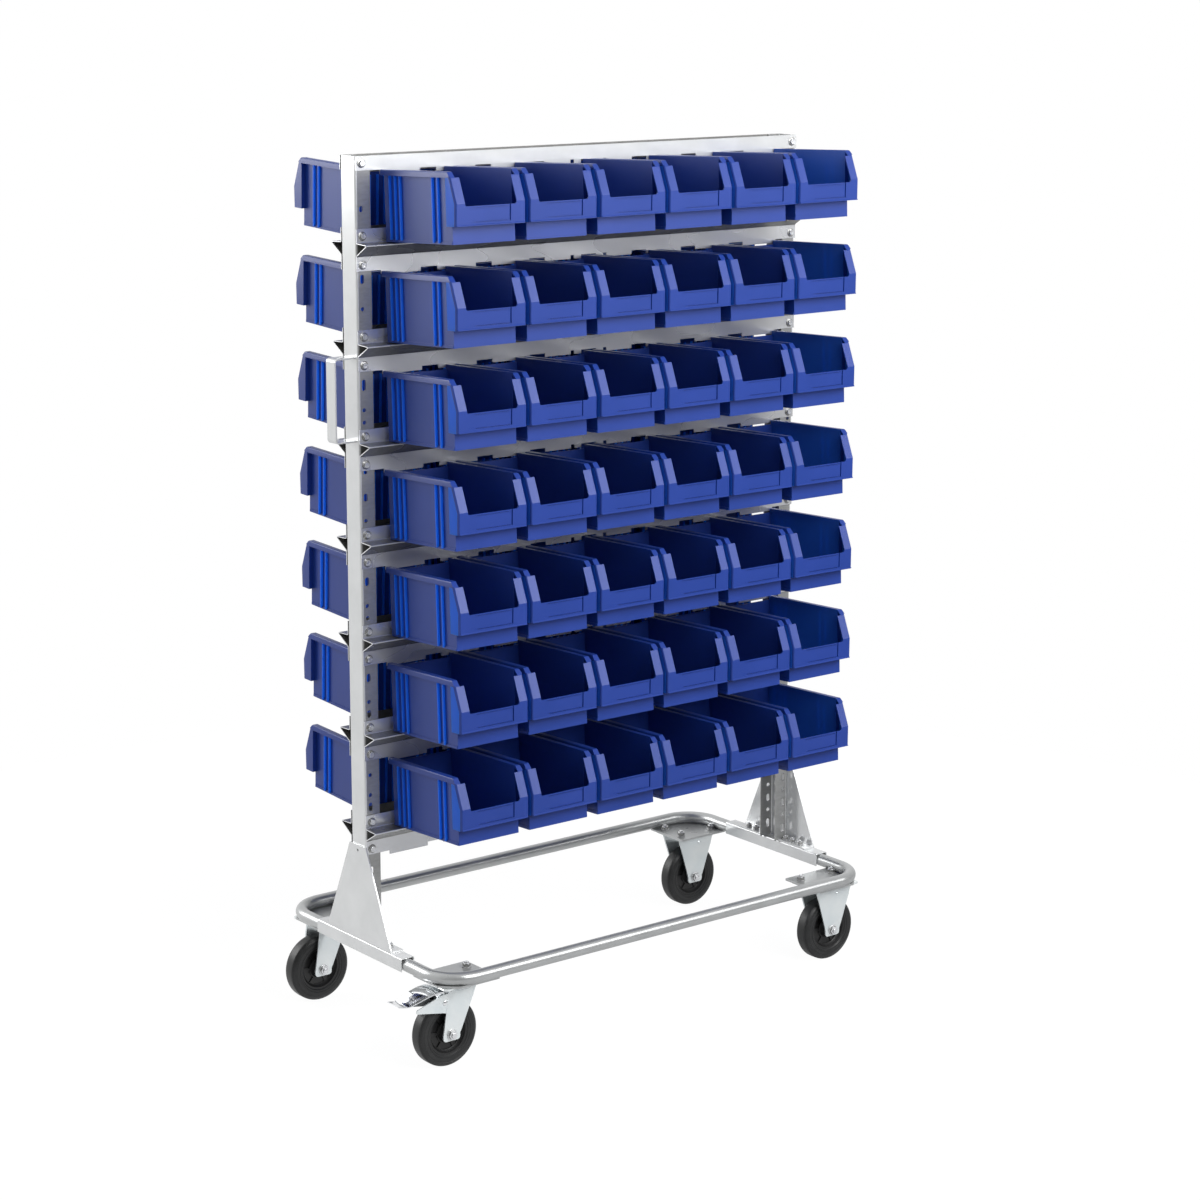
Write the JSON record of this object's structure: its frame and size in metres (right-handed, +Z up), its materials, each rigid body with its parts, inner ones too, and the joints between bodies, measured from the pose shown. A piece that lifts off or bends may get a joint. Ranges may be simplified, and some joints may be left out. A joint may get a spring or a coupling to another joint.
{
  "type": "mobile rack",
  "caption": "Double-sided mobile bin rack: zinc-plated frame with bent-sheet rails that carry rows of open-fronted plastic bins, on castors",
  "frame": {"origin": "centre of the bounding box's bottom face, on the floor under the rack", "axes": "+Z up, X along the rack with the handle end towards -X, -Y towards the side of the braked castor"},
  "size_m": [1.086, 0.5444, 1.595],
  "materials": {
    "zinc_sheet": "zinc-plated sheet, satin",
    "bright_zinc": "bright zinc plating",
    "chrome": "polished",
    "blue_plastic": "moulded, satin",
    "black_rubber": "matt black rubber"
  },
  "bodies": {
    "rack": {"left_upright": "zinc_sheet", "right_upright": "zinc_sheet", "left_foot_bracket": "zinc_sheet", "right_foot_bracket": "zinc_sheet", "left_end_channel": "zinc_sheet", "right_end_channel": "zinc_sheet", "front_top_rail": "zinc_sheet", "rear_top_rail": "zinc_sheet", "push_handle": "zinc_sheet", "front_bin_rail_1": "zinc_sheet", "front_bin_rail_2": "zinc_sheet", "front_bin_rail_3": "zinc_sheet", "front_bin_rail_4": "zinc_sheet", "front_bin_rail_5": "zinc_sheet", "front_bin_rail_6": "zinc_sheet", "front_bin_rail_7": "zinc_sheet", "rear_bin_rail_1": "zinc_sheet", "rear_bin_rail_2": "zinc_sheet", "rear_bin_rail_3": "zinc_sheet", "rear_bin_rail_4": "zinc_sheet", "rear_bin_rail_5": "zinc_sheet", "rear_bin_rail_6": "zinc_sheet", "rear_bin_rail_7": "zinc_sheet", "front_base_tube": "bright_zinc", "rear_base_tube": "bright_zinc", "front_bin_row_2": "blue_plastic", "front_bin_row_3": "blue_plastic", "front_bin_row_4": "blue_plastic", "front_bin_row_5": "blue_plastic", "front_bin_row_6": "blue_plastic", "front_bin_row_7": "blue_plastic", "rear_bin_row_1": "blue_plastic", "rear_bin_row_2": "blue_plastic", "rear_bin_row_3": "blue_plastic", "rear_bin_row_4": "blue_plastic", "rear_bin_row_5": "blue_plastic", "rear_bin_row_6": "blue_plastic", "rear_bin_row_7": "blue_plastic", "front_left_castor_plate": "bright_zinc", "rear_left_castor_plate": "bright_zinc", "front_right_castor_bracket": "bright_zinc", "front_right_castor_axle": "bright_zinc", "rear_right_castor_bracket": "bright_zinc", "rear_right_castor_axle": "bright_zinc"},
    "front_left_swivel": {"front_left_castor_fork": "bright_zinc", "front_left_castor_axle": "bright_zinc"},
    "rear_left_swivel": {"rear_left_castor_fork": "bright_zinc", "rear_left_castor_axle": "bright_zinc"},
    "front_left_wheel_body": {"front_left_castor_wheel": "black_rubber"},
    "rear_left_wheel_body": {"rear_left_castor_wheel": "black_rubber"},
    "front_right_wheel_body": {"front_right_castor_wheel": "black_rubber"},
    "rear_right_wheel_body": {"rear_right_castor_wheel": "black_rubber"},
    "brake": {"front_left_brake_pedal": "chrome"},
    "front_bin_1_body": {"front_bin_1": "blue_plastic"},
    "front_bin_2_body": {"front_bin_2": "blue_plastic"},
    "front_bin_3_body": {"front_bin_3": "blue_plastic"},
    "front_bin_4_body": {"front_bin_4": "blue_plastic"},
    "front_bin_5_body": {"front_bin_5": "blue_plastic"},
    "front_bin_6_body": {"front_bin_6": "blue_plastic"}
  },
  "joints": [
    {"name": "front_left_castor_swivel", "type": "hinge", "parent": "rack", "child": "front_left_swivel", "pos_m": [-0.40675, -0.21, 0.146], "axis": [0, 0, 1], "continuous": true},
    {"name": "front_left_wheel_spin", "type": "hinge", "parent": "front_left_swivel", "child": "front_left_wheel_body", "pos_m": [-0.43475, -0.21, 0.0625], "axis": [0, 1, 0], "continuous": true},
    {"name": "front_right_wheel_spin", "type": "hinge", "parent": "rack", "child": "front_right_wheel_body", "pos_m": [0.47325, -0.21, 0.0625], "axis": [0, 1, 0], "continuous": true},
    {"name": "rear_left_castor_swivel", "type": "hinge", "parent": "rack", "child": "rear_left_swivel", "pos_m": [-0.40675, 0.21, 0.146], "axis": [0, 0, 1], "continuous": true},
    {"name": "rear_left_wheel_spin", "type": "hinge", "parent": "rear_left_swivel", "child": "rear_left_wheel_body", "pos_m": [-0.43475, 0.21, 0.0625], "axis": [0, 1, 0], "continuous": true},
    {"name": "rear_right_wheel_spin", "type": "hinge", "parent": "rack", "child": "rear_right_wheel_body", "pos_m": [0.47325, 0.21, 0.0625], "axis": [0, 1, 0], "continuous": true},
    {"name": "brake_pedal_press", "type": "hinge", "parent": "front_left_swivel", "child": "brake", "pos_m": [-0.44875, -0.21, 0.1245], "axis": [0, -1, 0], "range_deg": [0, 8]},
    {"name": "front_bin_1_slide", "type": "slide", "parent": "rack", "child": "front_bin_1_body", "axis": [0, -0.9993, 0.0366], "range_m": [0, 0.2]},
    {"name": "front_bin_2_slide", "type": "slide", "parent": "rack", "child": "front_bin_2_body", "axis": [0, -0.9993, 0.0366], "range_m": [0, 0.2]},
    {"name": "front_bin_3_slide", "type": "slide", "parent": "rack", "child": "front_bin_3_body", "axis": [0, -0.9993, 0.0366], "range_m": [0, 0.2]},
    {"name": "front_bin_4_slide", "type": "slide", "parent": "rack", "child": "front_bin_4_body", "axis": [0, -0.9993, 0.0366], "range_m": [0, 0.2]},
    {"name": "front_bin_5_slide", "type": "slide", "parent": "rack", "child": "front_bin_5_body", "axis": [0, -0.9993, 0.0366], "range_m": [0, 0.2]},
    {"name": "front_bin_6_slide", "type": "slide", "parent": "rack", "child": "front_bin_6_body", "axis": [0, -0.9993, 0.0366], "range_m": [0, 0.2]}
  ]
}
